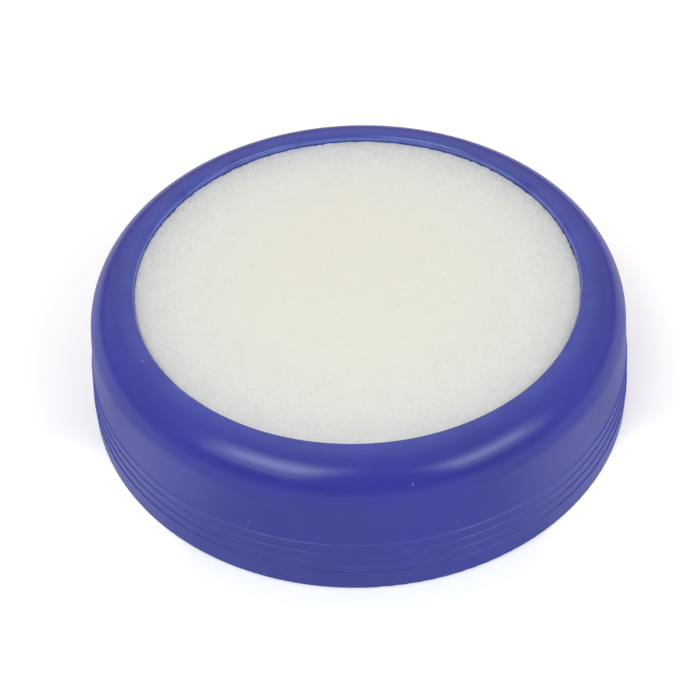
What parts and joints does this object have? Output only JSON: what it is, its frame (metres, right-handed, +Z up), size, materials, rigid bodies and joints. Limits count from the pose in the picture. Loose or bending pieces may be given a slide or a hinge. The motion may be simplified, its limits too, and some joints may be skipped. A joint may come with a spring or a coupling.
{
  "type": "sponge moistener dish",
  "caption": "Low round plastic dish with a rounded turned-in rim, stepped rings round its skirt and a damp foam sponge filling its mouth, for wetting fingers, brushes or stamps.",
  "frame": {"origin": "centre of the foot ring, on the surface the dish stands on", "axes": "+Z up along the dish's axis, -Y towards the camera of the picture, +X to its right"},
  "size_m": [0.095, 0.095, 0.024],
  "materials": {
    "shell_plastic": "satin",
    "cup_plastic": "satin",
    "foam": "matte"
  },
  "bodies": {
    "cup": {"water_cup": "cup_plastic"},
    "shell": {"rim_shell": "shell_plastic"},
    "sponge": {"sponge": "foam"}
  },
  "joints": [
    {"name": "shell_lift", "type": "slide", "parent": "cup", "child": "shell", "axis": [0, 0, 1], "range_m": [0, 0.03]},
    {"name": "sponge_press", "type": "slide", "parent": "cup", "child": "sponge", "axis": [0, 0, -1], "range_m": [0, 0.004], "stiffness_N_per_m": 500, "springref_m": -0.001, "deforming": ["sponge"]}
  ]
}
